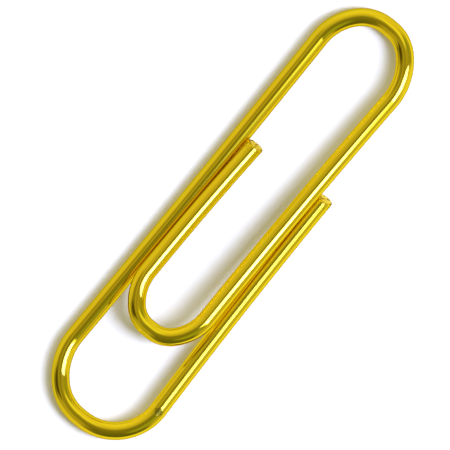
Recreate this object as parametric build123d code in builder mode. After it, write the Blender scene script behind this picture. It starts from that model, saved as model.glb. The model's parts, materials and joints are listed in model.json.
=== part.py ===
from build123d import *
from math import asin, atan2, cos, degrees, hypot, radians, sin, sqrt, tan
import os

# A paper clip is one round wire with three bends. It is built as ten stretches, cut square across the wire.
# Along the wire they are: outer leg, outer bend, long leg, top bend, inner leg, inner bend, tip leg.
# The outer leg, outer bend, long leg and top bend make the loop. The rest is the tongue that lies over it.
# X runs across the clip, Y along it to the top bend, and Z up from the table. Sizes are in mm and degrees.

# Wire and overall size
wire_diameter = 1.0
overall_length = 28.0

# Clear width inside each bend
outer_bend_gap = 5.06
top_bend_gap = 4.14
inner_bend_gap = 3.13

# Distances along the clip, from the crest of a bend
inner_bend_setback = 6.08  # outer bend's crest to inner bend's crest
outer_leg_reach = 17.8  # outer bend's crest to the end of the outer leg
tip_leg_reach = 11.56  # inner bend's crest to the end of the tip leg

# A half bend is a tight arc at the crest and an easier arc at the shoulder, with a radius this much larger
outer_free_ease = 1.04
outer_spine_ease = 1.34
top_spine_ease = 1.44
top_tongue_ease = 1.68
inner_tongue_ease = 1.7
inner_tip_ease = 1.78
crest_turn = 45.0  # how far the crest arc turns before the shoulder arc takes over

# Springback leaves every leg slightly bowed: how far it leans off the clip's length where it meets a bend
long_leg_lean = 0.58
outer_leg_lean = 2.45
inner_leg_top_lean = 1.53
inner_leg_low_lean = 0.74
tip_leg_lean = -0.46
tip_leg_curl = 2.78  # turn of the tip leg from its bend to its end

# How the sprung wire lies
open_side_lift = 0.5  # the loop leans on its long leg, with the other side this far off the table
inner_leg_rise = 2.6  # upward curl of the inner leg from the top bend to the inner bend
rest_gap = 0.04  # between wires that lie on each other

# Details
hinge_land = 0.15  # straight wire on each side of a crest, which twists when the clip opens
outer_end_slant = 0.38  # the sheared ends slope: the top of the wire stops this far short of its underside
tip_end_slant = 0.34
end_round = 0.08  # worn rim of the sheared ends

LEFT, RIGHT = 1, -1
wire_radius = wire_diameter / 2
outer_half = (outer_bend_gap + wire_diameter) / 2
top_half = (top_bend_gap + wire_diameter) / 2
inner_half = (inner_bend_gap + wire_diameter) / 2
crest_reach = (overall_length - wire_diameter) / 2


def crest_radius(half_width, ease):
    """Radius of the crest arc that, with its shoulder arc and its land, spans half the bend."""
    return (half_width - hinge_land) / (sin(radians(crest_turn)) * (1 - ease) + ease)


def bend_height(half_width, ease, lean):
    """How far along the clip half a bend reaches from its crest."""
    crest, turn = crest_radius(half_width, ease), radians(crest_turn)
    return crest * (1 - cos(turn)) + crest * ease * (cos(turn) + sin(radians(lean)))


def bend_width(half_width, ease, lean):
    """How far across the clip half a bend reaches where its leg begins."""
    return half_width - crest_radius(half_width, ease) * ease * (1 - cos(radians(lean)))


def drift(lean, curl, length, along):
    """How far a bowed leg has moved sideways, at a distance along it."""
    return radians(lean) * along - radians(curl) * along**2 / (2 * length)


def stack_height(beside):
    """Height between two wires that lie on each other, with their centres this far apart sideways."""
    return sqrt(max((wire_diameter + rest_gap) ** 2 - max(beside, 0) ** 2, 0))


# Heights of the half bends along the clip, and the legs between them
outer_spine_height = bend_height(outer_half, outer_spine_ease, long_leg_lean)
outer_free_height = bend_height(outer_half, outer_free_ease, outer_leg_lean)
top_spine_height = bend_height(top_half, top_spine_ease, long_leg_lean)
top_tongue_height = bend_height(top_half, top_tongue_ease, inner_leg_top_lean)
inner_tongue_height = bend_height(inner_half, inner_tongue_ease, inner_leg_low_lean)
inner_tip_height = bend_height(inner_half, inner_tip_ease, tip_leg_lean)
inner_crest_depth = 2 * crest_reach - inner_bend_setback  # below the top bend's crest
outer_end_depth = 2 * crest_reach - outer_leg_reach  # below the top bend's crest
long_leg_length = 2 * crest_reach - outer_spine_height - top_spine_height
outer_leg_length = outer_leg_reach - outer_free_height
inner_leg_length = inner_crest_depth - top_tongue_height - inner_tongue_height
tip_leg_length = tip_leg_reach - inner_tip_height
inner_leg_turn = inner_leg_top_lean + inner_leg_low_lean

# Places across the clip, from the outer bend's crest
long_leg_x = -bend_width(outer_half, outer_spine_ease, long_leg_lean)
top_crest_x = long_leg_x + bend_width(top_half, top_spine_ease, long_leg_lean)
inner_leg_x = top_crest_x + bend_width(top_half, top_tongue_ease, inner_leg_top_lean)
inner_leg_low_x = inner_leg_x
inner_leg_low_x -= drift(inner_leg_top_lean, inner_leg_turn, inner_leg_length, inner_leg_length)
inner_crest_x = inner_leg_low_x - bend_width(inner_half, inner_tongue_ease, inner_leg_low_lean)
tip_leg_x = inner_crest_x - bend_width(inner_half, inner_tip_ease, tip_leg_lean)
outer_end_x = bend_width(outer_half, outer_free_ease, outer_leg_lean)
outer_end_x -= drift(outer_leg_lean, outer_leg_lean, outer_leg_length, outer_leg_length)

# The loop leans on the long leg, and the outer leg comes down to put its end on the table.
loop_roll = asin(open_side_lift / (2 * outer_half))
outer_end_drop = (outer_half + outer_end_x) * tan(loop_roll)
outer_set = degrees(asin(outer_end_drop / outer_leg_reach))

# The tongue is set just high enough to pass over the outer leg's end and the inner bend over the long leg.
outer_end_along = outer_end_depth - top_tongue_height
outer_end_beside = outer_end_x - inner_leg_x
outer_end_beside += drift(inner_leg_top_lean, inner_leg_turn, inner_leg_length, outer_end_along)
rise_at_outer_end = drift(0, -inner_leg_rise, inner_leg_length, outer_end_along)
set_over_outer_end = stack_height(outer_end_beside) - outer_end_drop - rise_at_outer_end
rise_at_inner_crest = drift(0, -inner_leg_rise, inner_leg_length, inner_leg_length)
rise_at_inner_crest += inner_tongue_height * radians(inner_leg_rise)
set_over_long_leg = stack_height(tip_leg_x - long_leg_x) - rise_at_inner_crest
tongue_slope = max(set_over_outer_end / outer_end_depth, set_over_long_leg / inner_crest_depth, 0)
tongue_set = degrees(tongue_slope)
inner_crest_lift = inner_crest_depth * tongue_slope + rise_at_inner_crest


def tip_slope_to(share):
    """Slope from the inner bend's crest that lays the tip leg on the long leg, at a share of its length."""
    along = tip_leg_length * share
    tip_x = tip_leg_x + drift(tip_leg_lean, -tip_leg_curl, tip_leg_length, along)
    up_long_leg = inner_bend_setback + inner_tip_height + along - outer_spine_height
    long_x = long_leg_x + drift(long_leg_lean, 2 * long_leg_lean, long_leg_length, up_long_leg)
    return (inner_crest_lift - stack_height(tip_x - long_x)) / (inner_tip_height + along)


tip_stations = 8
tip_slope = min(tip_slope_to(station / tip_stations) for station in range(tip_stations + 1))
tip_set = tongue_set + inner_leg_rise - degrees(tip_slope)

# Each plane holds the wire between two crests, with X along the wire where it twists.
loop_plane = Plane(
    origin=(0, 0, wire_radius + outer_half * sin(loop_roll)),
    x_dir=(cos(loop_roll), 0, sin(loop_roll)),
    z_dir=(-sin(loop_roll), 0, cos(loop_roll)),
)
across = loop_plane.x_dir
outer_plane = Plane(loop_plane.location * Location((0, -crest_reach, 0), (-outer_set, 0, 0)))
tongue_plane = Plane(loop_plane.location * Location((top_crest_x, crest_reach, 0), (-tongue_set, 0, 0)))
outer_crest = outer_plane.origin
top_crest = tongue_plane.origin


def half_bend_from_crest(crest, heading, half_width, ease, lean, side):
    """Draw half a bend, from the land at its crest to the leg."""
    radius = crest_radius(half_width, ease)
    land = Line(crest, crest + heading * hinge_land)
    tight_arc = JernArc(land @ 1, heading, radius, side * crest_turn)
    JernArc(tight_arc @ 1, tight_arc % 1, radius * ease, side * (90 - crest_turn + lean))


def half_bend_to_crest(start, heading, half_width, ease, lean, side):
    """Draw half a bend, from the leg to the land at its crest."""
    radius = crest_radius(half_width, ease)
    easy_arc = JernArc(start, heading, radius * ease, side * (90 - crest_turn + lean))
    tight_arc = JernArc(easy_arc @ 1, easy_arc % 1, radius, side * crest_turn)
    Line(tight_arc @ 1, tight_arc @ 1 + (tight_arc % 1) * hinge_land)


def run_wire(path):
    """Sweep the round wire along a drawn path, from a section square to its start."""
    with BuildSketch(Plane(path @ 0, z_dir=path % 0)) as section:
        Circle(wire_radius)
    sweep(section.sketch, path)


def shear_plane(path, up, slant):
    """The sloping cut at the end of a leg, which faces ahead and a little up."""
    ahead = path % 1
    return Plane(path @ 1 - ahead * slant / 2, z_dir=ahead * wire_diameter + up * slant)


# Outer arm: the free half of the outer bend and the outer leg
with BuildPart() as outer_bend_free_half:
    with BuildLine(outer_plane) as free_half_path:
        half_bend_from_crest(outer_crest, across, outer_half, outer_free_ease, outer_leg_lean, LEFT)
    run_wire(free_half_path.line)

with BuildPart() as outer_leg:
    with BuildLine(outer_plane) as outer_leg_path:
        free_half = free_half_path.line
        outer_leg_radius = outer_leg_length / radians(outer_leg_lean)
        JernArc(free_half @ 1, free_half % 1, outer_leg_radius, RIGHT * outer_leg_lean)
    run_wire(outer_leg_path.line)
    outer_shear = shear_plane(outer_leg_path.line, outer_plane.z_dir, outer_end_slant)
    split(bisect_by=outer_shear, keep=Keep.BOTTOM)
    fillet(outer_leg.faces().filter_by(outer_shear).edges(), end_round)

# Spine: the long leg with the half bends at its ends
with BuildPart() as outer_bend_spine_half:
    with BuildLine(loop_plane) as outer_spine_path:
        half_bend_from_crest(outer_crest, -across, outer_half, outer_spine_ease, long_leg_lean, RIGHT)
    run_wire(outer_spine_path.line)

with BuildPart() as long_leg:
    with BuildLine(loop_plane) as long_leg_path:
        outer_spine = outer_spine_path.line
        long_leg_radius = long_leg_length / 2 / sin(radians(long_leg_lean))
        JernArc(outer_spine @ 1, outer_spine % 1, long_leg_radius, LEFT * 2 * long_leg_lean)
    run_wire(long_leg_path.line)

with BuildPart() as top_bend_spine_half:
    with BuildLine(loop_plane) as top_spine_path:
        upper_end = long_leg_path.line
        half_bend_to_crest(upper_end @ 1, upper_end % 1, top_half, top_spine_ease, long_leg_lean, RIGHT)
    run_wire(top_spine_path.line)

# Tongue: the other half of the top bend, the inner leg and half of the inner bend
with BuildPart() as top_bend_tongue_half:
    with BuildLine(tongue_plane) as top_tongue_path:
        half_bend_from_crest(top_crest, across, top_half, top_tongue_ease, inner_leg_top_lean, RIGHT)
    run_wire(top_tongue_path.line)

# The inner leg bows towards the long leg and upward at once, so its plane is turned about its start.
inner_leg_start, inner_leg_heading = top_tongue_path.line @ 1, top_tongue_path.line % 1
bow_tilt = degrees(atan2(inner_leg_rise, inner_leg_turn))
bow_turn = hypot(inner_leg_rise, inner_leg_turn)
bow_normal = tongue_plane.z_dir.rotate(Axis((0, 0, 0), inner_leg_heading), bow_tilt)
bow_plane = Plane(inner_leg_start, x_dir=inner_leg_heading, z_dir=bow_normal)

with BuildPart() as inner_leg:
    with BuildLine(bow_plane) as inner_leg_path:
        bow_radius = inner_leg_length / radians(bow_turn)
        JernArc(inner_leg_start, inner_leg_heading, bow_radius, LEFT * bow_turn)
    run_wire(inner_leg_path.line)

inner_bend_start, inner_bend_heading = inner_leg_path.line @ 1, inner_leg_path.line % 1
inner_plane = Plane(inner_bend_start, x_dir=across, z_dir=inner_bend_heading.cross(across))

with BuildPart() as inner_bend_tongue_half:
    with BuildLine(inner_plane) as inner_tongue_path:
        half_bend_to_crest(
            inner_bend_start, inner_bend_heading, inner_half, inner_tongue_ease, inner_leg_low_lean, RIGHT
        )
    run_wire(inner_tongue_path.line)

# Tip: the other half of the inner bend and the tip leg
inner_crest, tip_heading = inner_tongue_path.line @ 1, inner_tongue_path.line % 1
inner_crest_plane = Plane(inner_crest, x_dir=-tip_heading, z_dir=inner_plane.z_dir)
tip_plane = Plane(inner_crest_plane.location * Location((0, 0, 0), (tip_set, 0, 0)))

with BuildPart() as inner_bend_tip_half:
    with BuildLine(tip_plane) as tip_half_path:
        half_bend_from_crest(inner_crest, tip_heading, inner_half, inner_tip_ease, tip_leg_lean, RIGHT)
    run_wire(tip_half_path.line)

with BuildPart() as tip_leg:
    with BuildLine(tip_plane) as tip_leg_path:
        tip_half = tip_half_path.line
        tip_leg_radius = tip_leg_length / radians(tip_leg_curl)
        JernArc(tip_half @ 1, tip_half % 1, tip_leg_radius, RIGHT * tip_leg_curl)
    run_wire(tip_leg_path.line)
    tip_shear = shear_plane(tip_leg_path.line, tip_plane.z_dir, tip_end_slant)
    split(bisect_by=tip_shear, keep=Keep.BOTTOM)
    fillet(tip_leg.faces().filter_by(tip_shear).edges(), end_round)

stretches = {
    "outer_leg": outer_leg,
    "outer_bend_free_half": outer_bend_free_half,
    "outer_bend_spine_half": outer_bend_spine_half,
    "long_leg": long_leg,
    "top_bend_spine_half": top_bend_spine_half,
    "top_bend_tongue_half": top_bend_tongue_half,
    "inner_leg": inner_leg,
    "inner_bend_tongue_half": inner_bend_tongue_half,
    "inner_bend_tip_half": inner_bend_tip_half,
    "tip_leg": tip_leg,
}
os.makedirs("parts", exist_ok=True)
for name, stretch in stretches.items():
    stretch.part.label = name
    export_step(stretch.part, f"parts/{name}.step")

print(f"set angles: tongue {tongue_set:.3f}, tip {tip_set:.3f}, outer leg {outer_set:.3f}")
for bend, crest, axis in (
    ("outer bend", outer_crest, across),
    ("top bend", top_crest, across),
    ("inner bend", inner_crest, -tip_heading),
):
    print(f"{bend} twists at {tuple(crest)} about {tuple(axis)}")
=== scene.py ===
import json
import math

import bpy
from mathutils import Matrix, Vector, noise


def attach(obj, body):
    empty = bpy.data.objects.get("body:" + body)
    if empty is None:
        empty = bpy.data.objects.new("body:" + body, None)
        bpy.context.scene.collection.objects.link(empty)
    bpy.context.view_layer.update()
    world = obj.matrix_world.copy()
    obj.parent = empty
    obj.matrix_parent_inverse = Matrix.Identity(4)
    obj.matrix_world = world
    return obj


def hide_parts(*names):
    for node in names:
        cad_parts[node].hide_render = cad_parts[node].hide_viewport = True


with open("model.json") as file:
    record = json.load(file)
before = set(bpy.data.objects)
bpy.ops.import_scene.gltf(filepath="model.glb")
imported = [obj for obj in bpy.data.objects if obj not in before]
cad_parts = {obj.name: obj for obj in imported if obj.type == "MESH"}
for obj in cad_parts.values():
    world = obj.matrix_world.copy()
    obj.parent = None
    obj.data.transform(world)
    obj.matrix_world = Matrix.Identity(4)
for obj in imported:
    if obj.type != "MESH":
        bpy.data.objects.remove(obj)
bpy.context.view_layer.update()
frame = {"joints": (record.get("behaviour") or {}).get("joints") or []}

# A paper clip is one round wire, bent three times. Its four moving runs meet at the crests of the bends,
# where the wire twists. Sizes of the wire are in millimetres and degrees, and the scene is in metres.

MM = 0.001
LEFT, RIGHT = 1, -1

# The wire and its bends, the same sizes as the solids
WIRE_RADIUS = 0.5
OUTER_HALF, TOP_HALF, INNER_HALF = 3.03, 2.57, 2.065
HINGE_LAND = 0.15
CREST_TURN = 45.0
OUTER_FREE_EASE, OUTER_SPINE_EASE = 1.04, 1.34
TOP_SPINE_EASE, TOP_TONGUE_EASE = 1.44, 1.68
INNER_TONGUE_EASE, INNER_TIP_EASE = 1.7, 1.78

# How far each leg leans where it meets a bend, and how it bows on the way
LONG_LEG_LEAN = 0.58
OUTER_LEG_LEAN = 2.45
INNER_LEG_TOP_LEAN, INNER_LEG_LOW_LEAN = 1.53, 0.74
INNER_LEG_RISE = 2.6
TIP_LEG_LEAN = -0.46
TIP_LEG_CURL = 2.78

# How far the wire is twisted at each crest when the clip lies at rest
OUTER_SET, TONGUE_SET, TIP_SET = 1.530, 1.379, 1.014

# Reach of the legs along the clip, from crest to crest or from crest to end
CREST_TO_CREST = 27.0
INNER_BEND_SETBACK = 6.08
OUTER_LEG_REACH, TIP_LEG_REACH = 17.8, 11.56

# The sheared ends: the upper rim stops short of the lower one, the rim is worn round and the cut is torn
OUTER_END_SLANT, TIP_END_SLANT = 0.38, 0.34
RIM_WEAR = 0.08
TEAR_DEPTH = 0.06
TEAR_SIZE = 0.2

# Fineness of the wire meshes
SIDES = 72
BEND_STEP = 1.5  # degrees of bend between rings
LEG_STEP = 0.4  # millimetres of leg between rings
SEAM = 0.0005  # hairline left at a crest, so that the flat ends of two runs turn without touching
RIM_STEPS = 6
CUT_RINGS = 8


def crest_radius(half_width, ease):
    """Radius of the crest arc that, with its shoulder arc and its land, spans half the bend."""
    return (half_width - HINGE_LAND) / (math.sin(math.radians(CREST_TURN)) * (1 - ease) + ease)


def bend_height(half_width, ease, lean):
    """How far along the clip half a bend reaches from its crest."""
    crest, turn = crest_radius(half_width, ease), math.radians(CREST_TURN)
    return crest * (1 - math.cos(turn)) + crest * ease * (math.cos(turn) + math.sin(math.radians(lean)))


def along_arc(length, turn):
    """The move along an arc that turns left, seen from the start: X ahead, Y to the left, Z up."""
    if abs(turn) < 1e-9:
        return Matrix.Translation((length, 0, 0))
    radius = length / turn
    ahead = Matrix.Translation((radius * math.sin(turn), radius * (1 - math.cos(turn)), 0))
    return ahead @ Matrix.Rotation(turn, 4, "Z")


def rolled(degrees):
    """A roll about the way ahead."""
    return Matrix.Rotation(math.radians(degrees), 4, "X")


class Run:
    """A run of wire: the places along its middle, each with the length of wire up to it."""

    def __init__(self, start):
        self.places = [start]
        self.lengths = [0.0]

    def bend(self, length, degrees=0.0, tilt=0.0):
        """Adds a stretch that turns left by so many degrees, in a plane tilted about the way ahead."""
        start, done = self.places[-1], self.lengths[-1]
        turn = math.radians(degrees)
        steps = math.ceil(max(abs(degrees) / BEND_STEP, length / LEG_STEP, 1))
        for step in range(1, steps + 1):
            share = step / steps
            move = rolled(tilt) @ along_arc(length * share, turn * share) @ rolled(-tilt)
            self.places.append(start @ move)
            self.lengths.append(done + length * share)

    def from_crest(self, half_width, ease, lean, side):
        """Adds half a bend, from the land at its crest to the leg."""
        radius = crest_radius(half_width, ease)
        shoulder = 90 - CREST_TURN + lean
        self.bend(HINGE_LAND)
        self.bend(radius * math.radians(CREST_TURN), side * CREST_TURN)
        self.bend(radius * ease * math.radians(shoulder), side * shoulder)

    def to_crest(self, half_width, ease, lean, side):
        """Adds half a bend, from the leg to the land at its crest."""
        radius = crest_radius(half_width, ease)
        shoulder = 90 - CREST_TURN + lean
        self.bend(radius * ease * math.radians(shoulder), side * shoulder)
        self.bend(radius * math.radians(CREST_TURN), side * CREST_TURN)
        self.bend(HINGE_LAND)


def place(position, ahead, up):
    """A place on the wire, from its middle, the way ahead and the way up."""
    ahead = ahead.normalized()
    left = up.cross(ahead).normalized()
    turned = Matrix((ahead, left, ahead.cross(left))).transposed().to_4x4()
    return Matrix.Translation(position) @ turned


# Where the crests are, from the frame's joints
joints = {joint["name"]: joint for joint in frame["joints"]}
top_crest = Vector(joints["tongue_lift"]["pos_m"]) / MM
outer_crest = Vector(joints["outer_leg_press"]["pos_m"]) / MM
across = -Vector(joints["tongue_lift"]["axis"])
loop_up = across.cross(Vector((0, 1, 0)))

# Lengths of the legs between the bends
long_leg_length = CREST_TO_CREST
long_leg_length -= bend_height(OUTER_HALF, OUTER_SPINE_EASE, LONG_LEG_LEAN)
long_leg_length -= bend_height(TOP_HALF, TOP_SPINE_EASE, LONG_LEG_LEAN)
outer_leg_length = OUTER_LEG_REACH - bend_height(OUTER_HALF, OUTER_FREE_EASE, OUTER_LEG_LEAN)
inner_leg_length = CREST_TO_CREST - INNER_BEND_SETBACK
inner_leg_length -= bend_height(TOP_HALF, TOP_TONGUE_EASE, INNER_LEG_TOP_LEAN)
inner_leg_length -= bend_height(INNER_HALF, INNER_TONGUE_EASE, INNER_LEG_LOW_LEAN)
tip_leg_length = TIP_LEG_REACH - bend_height(INNER_HALF, INNER_TIP_EASE, TIP_LEG_LEAN)

# Outer arm: from the outer bend's crest to the free end of the outer leg
outer_arm = Run(place(outer_crest, across, loop_up) @ rolled(-OUTER_SET))
outer_arm.from_crest(OUTER_HALF, OUTER_FREE_EASE, OUTER_LEG_LEAN, LEFT)
outer_arm.bend(outer_leg_length, RIGHT * OUTER_LEG_LEAN)

# Spine: from the outer bend's crest up the long leg to the top bend's crest
spine = Run(place(outer_crest, -across, loop_up))
spine.from_crest(OUTER_HALF, OUTER_SPINE_EASE, LONG_LEG_LEAN, RIGHT)
long_leg_bow = math.radians(LONG_LEG_LEAN)
spine.bend(long_leg_length * long_leg_bow / math.sin(long_leg_bow), LEFT * 2 * LONG_LEG_LEAN)
spine.to_crest(TOP_HALF, TOP_SPINE_EASE, LONG_LEG_LEAN, RIGHT)

# Tongue: from the top bend's crest down the inner leg, which also curls up, to the inner bend's crest
tongue = Run(place(top_crest, across, loop_up) @ rolled(-TONGUE_SET))
tongue.from_crest(TOP_HALF, TOP_TONGUE_EASE, INNER_LEG_TOP_LEAN, RIGHT)
inner_leg_turn = INNER_LEG_TOP_LEAN + INNER_LEG_LOW_LEAN
bow_tilt = math.degrees(math.atan2(INNER_LEG_RISE, inner_leg_turn))
tongue.bend(inner_leg_length, LEFT * math.hypot(INNER_LEG_RISE, inner_leg_turn), bow_tilt)
leg_end = tongue.places[-1]
leg_heading = leg_end.to_3x3().col[0]
tongue.places[-1] = place(leg_end.translation, leg_heading, leg_heading.cross(across))
tongue.to_crest(INNER_HALF, INNER_TONGUE_EASE, INNER_LEG_LOW_LEAN, RIGHT)

# Tip: from the inner bend's crest to the free end of the tip leg
tip = Run(tongue.places[-1] @ rolled(-TIP_SET))
tip.from_crest(INNER_HALF, INNER_TIP_EASE, TIP_LEG_LEAN, RIGHT)
tip.bend(tip_leg_length, RIGHT * TIP_LEG_CURL)

# Where each run starts on the straight wire, counted from the end of the outer leg
spine_start = outer_arm.lengths[-1]
tongue_start = spine_start + spine.lengths[-1]
tip_start = tongue_start + tongue.lengths[-1]
wire_length = tip_start + tip.lengths[-1]


def rim_ring(slant, step):
    """One ring of the rim, which is worn round from wall to cut: (ahead, radius, normal) for each side."""
    ring = []
    for side in range(SIDES):
        height = math.sin(2 * math.pi * side / SIDES)
        corner = Vector((-slant * (1 + height) / 2, WIRE_RADIUS))
        on_wall = corner - Vector((RIM_WEAR, 0))
        on_cut = corner + Vector((slant * height / 2, -WIRE_RADIUS)).normalized() * RIM_WEAR
        share = step / RIM_STEPS
        point = on_wall * (1 - share) ** 2 + corner * 2 * share * (1 - share) + on_cut * share**2
        slope = (corner - on_wall) * (1 - share) + (on_cut - corner) * share
        ring.append((point.x, point.y, Vector((-slope.y, slope.x)).normalized()))
    return ring


def cut_ring(slant, share, seed):
    """One ring of the torn cut, at a share of the way out from its middle. The tear fades out at the rim."""
    ring = []
    for side, (_, rim_radius, normal) in enumerate(rim_ring(slant, RIM_STEPS)):
        angle = 2 * math.pi * side / SIDES
        radius = rim_radius * share
        spot = Vector((math.cos(angle), math.sin(angle), 0)) * radius / TEAR_SIZE
        tear = TEAR_DEPTH * (1 - share**4) * (0.5 + noise.noise(spot + Vector((0, 0, seed))))
        ring.append((-slant * (1 + math.sin(angle) * radius / WIRE_RADIUS) / 2 - tear, radius, normal))
    return ring


def wire_mesh(name, run, along_start, along_way, slant=None):
    """A closed tube round a run, with exact normals and each point's place on the straight wire.

    The free end, where the run has one, is sheared at a slant, and its cut has a material of its own.
    """
    vertices, normals, unbent, rings = [], [], [], []

    def add_ring(placed, length, ring):
        """Adds one ring of (ahead, radius, normal) around a place on the wire."""
        rings.append(range(len(vertices), len(vertices) + SIDES))
        for side, (ahead, radius, normal) in enumerate(ring):
            angle = 2 * math.pi * side / SIDES
            out = Vector((0, math.cos(angle), math.sin(angle)))
            vertices.append((placed @ (out * radius + Vector((ahead, 0, 0)))) * MM)
            normals.append(placed.to_3x3() @ (out * normal.y + Vector((normal.x, 0, 0))))
            along = along_start + along_way * (length + ahead)
            unbent.append(Vector((along, along_way * out.y * radius, out.z * radius)))

    reach = run.lengths[-1]
    seams = {0: SEAM, len(run.places) - 1: -SEAM}
    plain_reach = reach if slant is None else reach - slant - LEG_STEP
    for number, (placed, length) in enumerate(zip(run.places, run.lengths)):
        if length <= plain_reach:
            add_ring(placed, length, [(seams.get(number, 0.0), WIRE_RADIUS, Vector((0, 1)))] * SIDES)
    if slant is not None:
        for step in range(RIM_STEPS + 1):
            add_ring(run.places[-1], reach, rim_ring(slant, step))
    wall_bands = len(rings) - 1
    if slant is not None:
        for number in range(CUT_RINGS - 1, 0, -1):
            add_ring(run.places[-1], reach, cut_ring(slant, number / CUT_RINGS, along_start))

    faces, on_cut = [], []
    for number, (near, far) in enumerate(zip(rings, rings[1:])):
        for side in range(SIDES):
            after = (side + 1) % SIDES
            faces.append((near[side], near[after], far[after], far[side]))
            on_cut.append(number >= wall_bands)
    faces.append(tuple(reversed(rings[0])))
    on_cut.append(False)
    faces.append(tuple(rings[-1]))
    on_cut.append(slant is not None)

    mesh = bpy.data.meshes.new(name)
    mesh.from_pydata(vertices, [], faces)
    corner_normals = []
    for polygon, cut in zip(mesh.polygons, on_cut):
        polygon.use_smooth = True
        polygon.material_index = int(cut)
        flat = cut or len(polygon.vertices) == SIDES
        for vertex in polygon.vertices:
            corner_normals.append(polygon.normal.copy() if flat else normals[vertex])
    mesh.normals_split_custom_set(corner_normals)
    attribute = mesh.attributes.new("unbent", "FLOAT_VECTOR", "POINT")
    for point, place_on_wire in zip(attribute.data, unbent):
        point.vector = place_on_wire
    piece = bpy.data.objects.new(name, mesh)
    bpy.context.scene.collection.objects.link(piece)
    return piece


def colour(hex_text):
    """A linear colour from an sRGB hex value."""
    parts = [int(hex_text[first:first + 2], 16) / 255 for first in (1, 3, 5)]
    linear = [part / 12.92 if part <= 0.04045 else ((part + 0.055) / 1.055) ** 2.4 for part in parts]
    return (*linear, 1.0)


def add_node(tree, kind, inputs=(), **settings):
    """Adds a node with its settings. An input is a value, or another node's output to link."""
    node = tree.nodes.new(kind)
    for name, value in settings.items():
        setattr(node, name, value)
    for socket, value in dict(inputs).items():
        if isinstance(value, bpy.types.NodeSocket):
            tree.links.new(value, node.inputs[socket])
        else:
            node.inputs[socket].default_value = value
    return node


# The colour sockets of a Mix node, whose names its other kinds share
COLOUR_A, COLOUR_B, MIXED_COLOUR = 6, 7, 2

# Brass plating on drawn steel wire. A spread is the range of a noise over which its marks fade in

DIE_LINE_WIDTH = 0.09  # real die lines are about 0.02 mm wide, too fine to show, so they are drawn coarser
DIE_LINE_RUN = 9.0  # how far a die line goes on before it fades
DIE_LINE_DEPTH = 0.0006
DIE_LINE_SPREAD = (0.3, 0.7)
PLATING_ROUGHNESS = (0.035, 0.065)
TARNISH_SIZE = 2.2
TARNISH_SPREAD = (0.35, 0.7)
SPECK_SIZE = 0.12
SPECK_SPREAD = (0.56, 0.68)
END_WEAR = 1.1  # how far from a sheared end the plating is marked
SCUFF_AT = (14.84, 0.13, 0.48)  # on the straight wire: along it, to its side and up
SCUFF_SIZE = 0.34
SCUFF_EDGE = (1.4 * SCUFF_SIZE, 0.8 * SCUFF_SIZE)  # where its ragged edge starts, and where it is full
END_DULLING, SCUFF_DULLING = 0.12, 0.3  # roughness that wear adds
MARKS_TO_LINES = 8.0  # how much deeper the marks of wear are than the die lines


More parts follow.
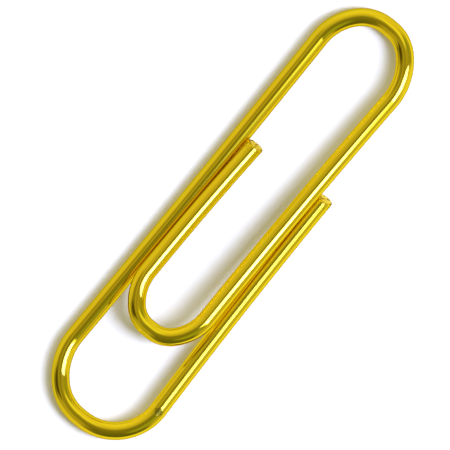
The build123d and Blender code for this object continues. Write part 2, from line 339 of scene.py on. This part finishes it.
def brass_plated_wire():
    """Bright brass plating on drawn steel wire under thin lacquer.

    The eye sees a mirror that is yellow even at its edges. The die has left faint lines along the wire,
    and the plating is a little redder in patches. It is dulled and specked at the sheared ends, and dark
    in one scuff.
    """
    material = bpy.data.materials.new("brass_plated_wire")
    material.use_nodes = True
    tree = material.node_tree
    shader = tree.nodes["Principled BSDF"]
    unbent = add_node(tree, "ShaderNodeAttribute", attribute_name="unbent").outputs["Vector"]
    along = add_node(tree, "ShaderNodeSeparateXYZ", {0: unbent}).outputs["X"]

    drawn = add_node(tree, "ShaderNodeVectorMath", {0: unbent, 1: (DIE_LINE_WIDTH / DIE_LINE_RUN, 1, 1)},
                     operation="MULTIPLY").outputs["Vector"]
    lines = add_node(tree, "ShaderNodeTexNoise", {
        "Vector": drawn, "Scale": 1 / DIE_LINE_WIDTH, "Detail": 1.0})
    patches = add_node(tree, "ShaderNodeTexNoise", {
        "Vector": unbent, "Scale": 1 / TARNISH_SIZE, "Detail": 3.0})
    specks = add_node(tree, "ShaderNodeTexNoise", {
        "Vector": unbent, "Scale": 1 / SPECK_SIZE, "Detail": 2.0})

    near_first = add_node(tree, "ShaderNodeMapRange", {
        "Value": along, "From Min": END_WEAR, "From Max": 0.0}, interpolation_type="SMOOTHSTEP")
    near_last = add_node(tree, "ShaderNodeMapRange", {
        "Value": along, "From Min": wire_length - END_WEAR, "From Max": wire_length},
        interpolation_type="SMOOTHSTEP")
    near_end = add_node(tree, "ShaderNodeMath", {0: near_first.outputs[0], 1: near_last.outputs[0]},
                        operation="MAXIMUM").outputs[0]
    from_scuff = add_node(tree, "ShaderNodeVectorMath", {0: unbent, 1: SCUFF_AT}, operation="DISTANCE")
    ragged = add_node(tree, "ShaderNodeMath", {
        0: specks.outputs["Fac"], 1: SCUFF_SIZE, 2: from_scuff.outputs["Value"]}, operation="MULTIPLY_ADD")
    scuff = add_node(tree, "ShaderNodeMapRange", {
        "Value": ragged.outputs[0], "From Min": SCUFF_EDGE[0], "From Max": SCUFF_EDGE[1]},
        interpolation_type="SMOOTHSTEP").outputs[0]
    worn = add_node(tree, "ShaderNodeMath", {0: near_end, 1: scuff}, operation="MAXIMUM").outputs[0]

    tint = add_node(tree, "ShaderNodeMapRange", {
        "Value": patches.outputs["Fac"], "From Min": TARNISH_SPREAD[0], "From Max": TARNISH_SPREAD[1]})
    gold = add_node(tree, "ShaderNodeMix", {
        "Factor": tint.outputs[0], COLOUR_A: colour("#F0D92B"), COLOUR_B: colour("#F1D429")},
        data_type="RGBA").outputs[MIXED_COLOUR]
    speck = add_node(tree, "ShaderNodeMapRange", {
        "Value": specks.outputs["Fac"], "From Min": SPECK_SPREAD[0], "From Max": SPECK_SPREAD[1]}).outputs[0]
    specked = add_node(tree, "ShaderNodeMath", {0: speck, 1: near_end}, operation="MULTIPLY").outputs[0]
    dark = add_node(tree, "ShaderNodeMath", {0: specked, 1: scuff}, operation="MAXIMUM").outputs[0]
    worn_gold = add_node(tree, "ShaderNodeMix", {
        "Factor": dark, COLOUR_A: gold, COLOUR_B: colour("#7A7010")}, data_type="RGBA")
    tree.links.new(worn_gold.outputs[MIXED_COLOUR], shader.inputs["Base Color"])

    polish = add_node(tree, "ShaderNodeMapRange", {
        "Value": lines.outputs["Fac"], "From Min": DIE_LINE_SPREAD[0], "From Max": DIE_LINE_SPREAD[1],
        "To Min": PLATING_ROUGHNESS[0], "To Max": PLATING_ROUGHNESS[1]})
    dull_ends = add_node(tree, "ShaderNodeMath", {0: near_end, 1: END_DULLING, 2: polish.outputs[0]},
                         operation="MULTIPLY_ADD")
    dulled = add_node(tree, "ShaderNodeMath", {0: scuff, 1: SCUFF_DULLING, 2: dull_ends.outputs[0]},
                      operation="MULTIPLY_ADD")
    tree.links.new(dulled.outputs[0], shader.inputs["Roughness"])

    marks = add_node(tree, "ShaderNodeMath", {0: specks.outputs["Fac"], 1: worn}, operation="MULTIPLY")
    relief = add_node(tree, "ShaderNodeMath", {
        0: marks.outputs[0], 1: MARKS_TO_LINES, 2: lines.outputs["Fac"]}, operation="MULTIPLY_ADD")
    bump = add_node(tree, "ShaderNodeBump", {
        "Height": relief.outputs[0], "Strength": 1.0, "Distance": DIE_LINE_DEPTH * MM})
    tree.links.new(bump.outputs["Normal"], shader.inputs["Normal"])

    shader.inputs["Metallic"].default_value = 1.0
    shader.inputs["Specular Tint"].default_value = colour("#C9A84A")
    return material


# The sheared cut

PIT_SPREAD = (0.5, 0.62)
CUT_ROUGHNESS = (0.15, 0.4)
SHEAR_LINE_WIDTH = 0.05
SHEAR_LINE_RUN = 0.25  # the shear comes down from above, so its lines run up and down the cut
SHEAR_LINE_DEPTH = 0.01


def sheared_cut():
    """Steel torn by the shear, smeared with brass from the rim: pale straw, satin, with dark pits."""
    material = bpy.data.materials.new("sheared_cut")
    material.use_nodes = True
    tree = material.node_tree
    shader = tree.nodes["Principled BSDF"]
    unbent = add_node(tree, "ShaderNodeAttribute", attribute_name="unbent").outputs["Vector"]
    torn = add_node(tree, "ShaderNodeTexNoise", {"Vector": unbent, "Scale": 1 / TEAR_SIZE, "Detail": 3.0})
    pitted = add_node(tree, "ShaderNodeMapRange", {
        "Value": torn.outputs["Fac"], "From Min": PIT_SPREAD[0], "From Max": PIT_SPREAD[1]}).outputs[0]
    steel = add_node(tree, "ShaderNodeMix", {
        "Factor": pitted, COLOUR_A: colour("#FFE668"), COLOUR_B: colour("#8A5F14")}, data_type="RGBA")
    tree.links.new(steel.outputs[MIXED_COLOUR], shader.inputs["Base Color"])
    sheared = add_node(tree, "ShaderNodeVectorMath", {
        0: unbent, 1: (1, 1, SHEAR_LINE_WIDTH / SHEAR_LINE_RUN)}, operation="MULTIPLY")
    marks = add_node(tree, "ShaderNodeTexNoise", {
        "Vector": sheared.outputs["Vector"], "Scale": 1 / SHEAR_LINE_WIDTH, "Detail": 1.0})
    satin = add_node(tree, "ShaderNodeMapRange", {
        "Value": marks.outputs["Fac"], "To Min": CUT_ROUGHNESS[0], "To Max": CUT_ROUGHNESS[1]})
    tree.links.new(satin.outputs[0], shader.inputs["Roughness"])
    bump = add_node(tree, "ShaderNodeBump", {
        "Height": marks.outputs["Fac"], "Strength": 1.0, "Distance": SHEAR_LINE_DEPTH * MM})
    tree.links.new(bump.outputs["Normal"], shader.inputs["Normal"])
    shader.inputs["Metallic"].default_value = 1.0
    shader.inputs["Specular Tint"].default_value = colour("#FFEC98")
    return material


# The four runs: each rides its body and replaces the solids of that body

wire_finish, cut_finish = brass_plated_wire(), sheared_cut()
for body, run, along_start, along_way, slant, nodes in (
    ("outer_arm", outer_arm, spine_start, -1, OUTER_END_SLANT,
     ("outer_leg", "outer_bend_free_half")),
    ("spine", spine, spine_start, 1, None,
     ("outer_bend_spine_half", "long_leg", "top_bend_spine_half")),
    ("tongue", tongue, tongue_start, 1, None,
     ("top_bend_tongue_half", "inner_leg", "inner_bend_tongue_half")),
    ("tip", tip, tip_start, 1, TIP_END_SLANT,
     ("inner_bend_tip_half", "tip_leg")),
):
    piece = wire_mesh(f"{body}_wire", run, along_start, along_way, slant)
    piece.data.materials.append(wire_finish)
    piece.data.materials.append(cut_finish)
    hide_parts(*nodes)
    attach(piece, body)

# Floor

FLOOR_HALF = 3.0
FLOOR_GLOW = 0.06
# Strength of the painted glow that the metal mirrors; painted shade makes it dimmer on the clip's shaded
# side
FLOOR_PAINTED_SHADE_IN_METAL = (0.74, 1.0)  # on the clip's shaded side and on the side of the lamp
FLOOR_FADE = 4.5 * MM  # how far from the middle of the clip each side is full


def white_card():
    """White card with a slight sheen, which keeps the clip's shadow and shows as white by a faint glow.

    The metal mirrors a painted glow instead, pale card dimmed by painted shade on the clip's shaded side.
    """
    material = bpy.data.materials.new("white_card")
    material.use_nodes = True
    tree = material.node_tree
    paper = tree.nodes["Principled BSDF"]
    paper.inputs["Base Color"].default_value = colour("#EAEAEA")
    paper.inputs["Roughness"].default_value = 0.3
    paper.inputs["IOR"].default_value = 1.45
    ray = add_node(tree, "ShaderNodeLightPath")
    seen = add_node(tree, "ShaderNodeMath", {
        0: ray.outputs["Is Camera Ray"], 1: ray.outputs["Is Transmission Ray"]}, operation="MAXIMUM")
    glow = add_node(tree, "ShaderNodeMath", {0: seen.outputs[0], 1: FLOOR_GLOW}, operation="MULTIPLY")
    lift = add_node(tree, "ShaderNodeEmission", {"Strength": glow.outputs[0]})
    lit = add_node(tree, "ShaderNodeAddShader", {0: paper.outputs[0], 1: lift.outputs[0]})
    # Painted shade in the mirrored card: its glow fades from dim at -X, the clip's shaded side, to full
    # towards the lamp
    spot = add_node(tree, "ShaderNodeNewGeometry").outputs["Position"]
    toward_lamp = add_node(tree, "ShaderNodeSeparateXYZ", {0: spot}).outputs["X"]
    fade = add_node(tree, "ShaderNodeMapRange", {
        "Value": toward_lamp, "From Min": -FLOOR_FADE, "From Max": FLOOR_FADE,
        "To Min": FLOOR_PAINTED_SHADE_IN_METAL[0], "To Max": FLOOR_PAINTED_SHADE_IN_METAL[1]})
    mirrored = add_node(tree, "ShaderNodeEmission", {"Strength": fade.outputs[0]})
    both = add_node(tree, "ShaderNodeMixShader", {
        0: ray.outputs["Is Glossy Ray"], 1: lit.outputs[0], 2: mirrored.outputs[0]})
    tree.links.new(both.outputs[0], tree.nodes["Material Output"].inputs["Surface"])
    return material


floor_mesh = bpy.data.meshes.new("floor")
floor_corners = [(-FLOOR_HALF, -FLOOR_HALF, 0), (FLOOR_HALF, -FLOOR_HALF, 0),
                 (FLOOR_HALF, FLOOR_HALF, 0), (-FLOOR_HALF, FLOOR_HALF, 0)]
floor_mesh.from_pydata(floor_corners, [], [(0, 1, 2, 3)])
floor_mesh.materials.append(white_card())
floor = bpy.data.objects.new("floor", floor_mesh)
bpy.context.scene.collection.objects.link(floor)

# Softbox: a daylight lamp of four panels. It is far brighter than white, and mirrored at that strength it
# would leave hard, sparkling streaks. So each panel is two lamps. One lights the card, and the other is what
# the wire mirrors, with red and green brought down to two or three times what shows as full. Skirts and a
# hem fade its edges there.

SOFTBOX_AWAY = 2.0
PANEL_GAP = 0.01  # between one lamp and the next, because lamps in one plane hide each other
SOFTBOX_HUE = (0.96, 1.02, 1.38)
MIRRORED_HUE = (0.19, 0.21, 1.38)
# Shape and strength, azimuth and zenith, half its length and width as angles, and its turn
PANELS = {
    "upper_edge": ("RECTANGLE", 13.5, 34.7, 33, 20, 6, 34),
    "middle": ("ELLIPSE", 8.8, 24, 40.5, 12, 7, 18),
    "lower_half": ("RECTANGLE", 12.5, 16.2, 35, 11, 5.4, 4),
    "lower_edge": ("RECTANGLE", 15.6, 8.8, 34.5, 10.5, 1.5, -2.5),
}
SKIRTS = {
    "inner_skirt": ("RECTANGLE", 0.5, 15.5, 35, 16, 7.2, 3),
    "outer_skirt": ("RECTANGLE", 0.35, 15.5, 35, 20, 8, 3),
    "hem": ("ELLIPSE", 0.45, 3.2, 35, 20, 1.6, 0),
}


def toward(azimuth, zenith):
    """The way to a place round the table: degrees from X towards Y, and degrees down from overhead."""
    turn, tilt = math.radians(azimuth), math.radians(zenith)
    return Vector((math.sin(tilt) * math.cos(turn), math.sin(tilt) * math.sin(turn), math.cos(tilt)))


def softbox_lamp(name, hue, away, shape, radiance, azimuth, zenith, half_long, half_short, turn):
    """A lamp that faces the clip, long across it or turned from that. Angles are as seen from the clip."""
    lamp = bpy.data.lights.new(name, "AREA")
    lamp.shape = shape
    lamp.size = 2 * away * math.tan(math.radians(half_long))
    lamp.size_y = 2 * away * math.tan(math.radians(half_short))
    area = lamp.size * lamp.size_y * (1 if shape == "RECTANGLE" else math.pi / 4)
    lamp.energy = radiance * math.pi * area
    lamp.color = hue
    facing = toward(azimuth, zenith)
    long_way = facing.cross(Vector((0, 1, 0))).normalized()
    turned = Matrix((long_way, facing.cross(long_way), facing)).transposed().to_4x4()
    piece = bpy.data.objects.new(name, lamp)
    piece.matrix_world = (
        Matrix.Translation(facing * away) @ turned @ Matrix.Rotation(math.radians(turn), 4, "Z"))
    bpy.context.scene.collection.objects.link(piece)
    return piece


for number, (name, panel) in enumerate(PANELS.items()):
    lamp = softbox_lamp(f"{name}_on_card", SOFTBOX_HUE, SOFTBOX_AWAY + number * PANEL_GAP, *panel)
    lamp.visible_glossy = False
mirrored = [(name, MIRRORED_HUE, panel) for name, panel in PANELS.items()]
mirrored += [(name, SOFTBOX_HUE, skirt) for name, skirt in SKIRTS.items()]
for number, (name, hue, panel) in enumerate(mirrored, 1):
    lamp = softbox_lamp(f"{name}_in_metal", hue, SOFTBOX_AWAY - number * PANEL_GAP, *panel)
    lamp.visible_diffuse = False

# Room: warm and dim, paler on the far side, with cards and dark gaps that the wire mirrors

ROOM_STRENGTH = 0.97
PALE_WALL = (130, 80)  # azimuth and zenith of the palest place
# How near the palest place, from 0 to 1, and the colour there
WALL_STOPS = (
    (0.4, "#7A7857"), (0.5, "#96926F"), (0.585, "#AAA37A"), (0.7, "#BDB486"),
    (0.8, "#D6CC97"), (0.9, "#EEE3A8"), (1.0, "#FFF5B8"),
)
# Azimuth, zenith, reach and how much of the reach is full, then the colour
CARDS = (
    (-60, 6, 22, 0.2, "#888663"),
    (-175, 84, 34, 0.3, "#EEDEA5"),
    (-102, 91, 32, 0.3, "#EBE0A7"),
    (-160, 42, 22, 0.3, "#988F67"),
    (-116, 50, 26, 0.4, "#C0B786"),
    (-140, 44, 13, 0.4, "#4E4636"),
    (-141, 58, 13, 0.4, "#5C5241"),
    (100, 33, 17, 0.6, "#FDFCC0"),
    (66, 54, 18, 0.4, "#98A270"),
    (-50, 62, 26, 0.3, "#6A6E4E"),
    (-20, 40, 21, 0.3, "#A6B27B"),
    (0, 72, 22, 0.5, "#D2C993"),
    (25, 74, 20, 0.6, "#F4E9AE"),
)

world = bpy.data.worlds.new("room")
bpy.context.scene.world = world
world.use_nodes = True
tree = world.node_tree
facing = add_node(tree, "ShaderNodeTexCoord").outputs["Generated"]
to_wall = add_node(tree, "ShaderNodeVectorMath", {0: facing, 1: toward(*PALE_WALL)}, operation="DOT_PRODUCT")
share = add_node(tree, "ShaderNodeMapRange", {
    "Value": to_wall.outputs["Value"], "From Min": -1.0, "From Max": 1.0})
ramp = add_node(tree, "ShaderNodeValToRGB", {"Fac": share.outputs[0]})
stops = ramp.color_ramp.elements
stops[0].position, stops[0].color = WALL_STOPS[0][0], colour(WALL_STOPS[0][1])
stops[1].position, stops[1].color = WALL_STOPS[-1][0], colour(WALL_STOPS[-1][1])
for position, hue in WALL_STOPS[1:-1]:
    stops.new(position).color = colour(hue)
room = ramp.outputs["Color"]
for azimuth, zenith, reach, full, hue in CARDS:
    spot = add_node(tree, "ShaderNodeVectorMath", {
        0: facing, 1: toward(azimuth, zenith)}, operation="DOT_PRODUCT")
    fade = add_node(tree, "ShaderNodeMapRange", {
        "Value": spot.outputs["Value"],
        "From Min": math.cos(math.radians(reach)),
        "From Max": math.cos(math.radians(reach * full)),
    }, interpolation_type="SMOOTHSTEP")
    room = add_node(tree, "ShaderNodeMix", {
        "Factor": fade.outputs[0], COLOUR_A: room, COLOUR_B: colour(hue)},
        data_type="RGBA").outputs[MIXED_COLOUR]
tree.links.new(room, tree.nodes["Background"].inputs["Color"])
tree.nodes["Background"].inputs["Strength"].default_value = ROOM_STRENGTH

# Camera, straight above the clip, which lies aslant in the picture

CAMERA_HEIGHT = 0.8
PICTURE_PIXELS, PIXELS_TO_MM = 450, 18.4
FRAME_WIDTH = PICTURE_PIXELS / PIXELS_TO_MM * MM
FRAME_MIDDLE = (-0.55 * MM, -0.44 * MM)
CLIP_ANGLE = math.radians(50.6)
camera_data = bpy.data.cameras.new("camera")
camera_data.lens = camera_data.sensor_width * CAMERA_HEIGHT / FRAME_WIDTH
camera = bpy.data.objects.new("camera", camera_data)
bpy.context.scene.collection.objects.link(camera)
bpy.context.scene.camera = camera
picture_right = Vector((math.sin(CLIP_ANGLE), math.cos(CLIP_ANGLE), 0))
picture_up = Vector((-math.cos(CLIP_ANGLE), math.sin(CLIP_ANGLE), 0))
turned = Matrix((picture_right, picture_up, Vector((0, 0, 1)))).transposed().to_4x4()
camera.matrix_world = Matrix.Translation((*FRAME_MIDDLE, CAMERA_HEIGHT)) @ turned

bpy.context.scene.view_settings.view_transform = "Standard"
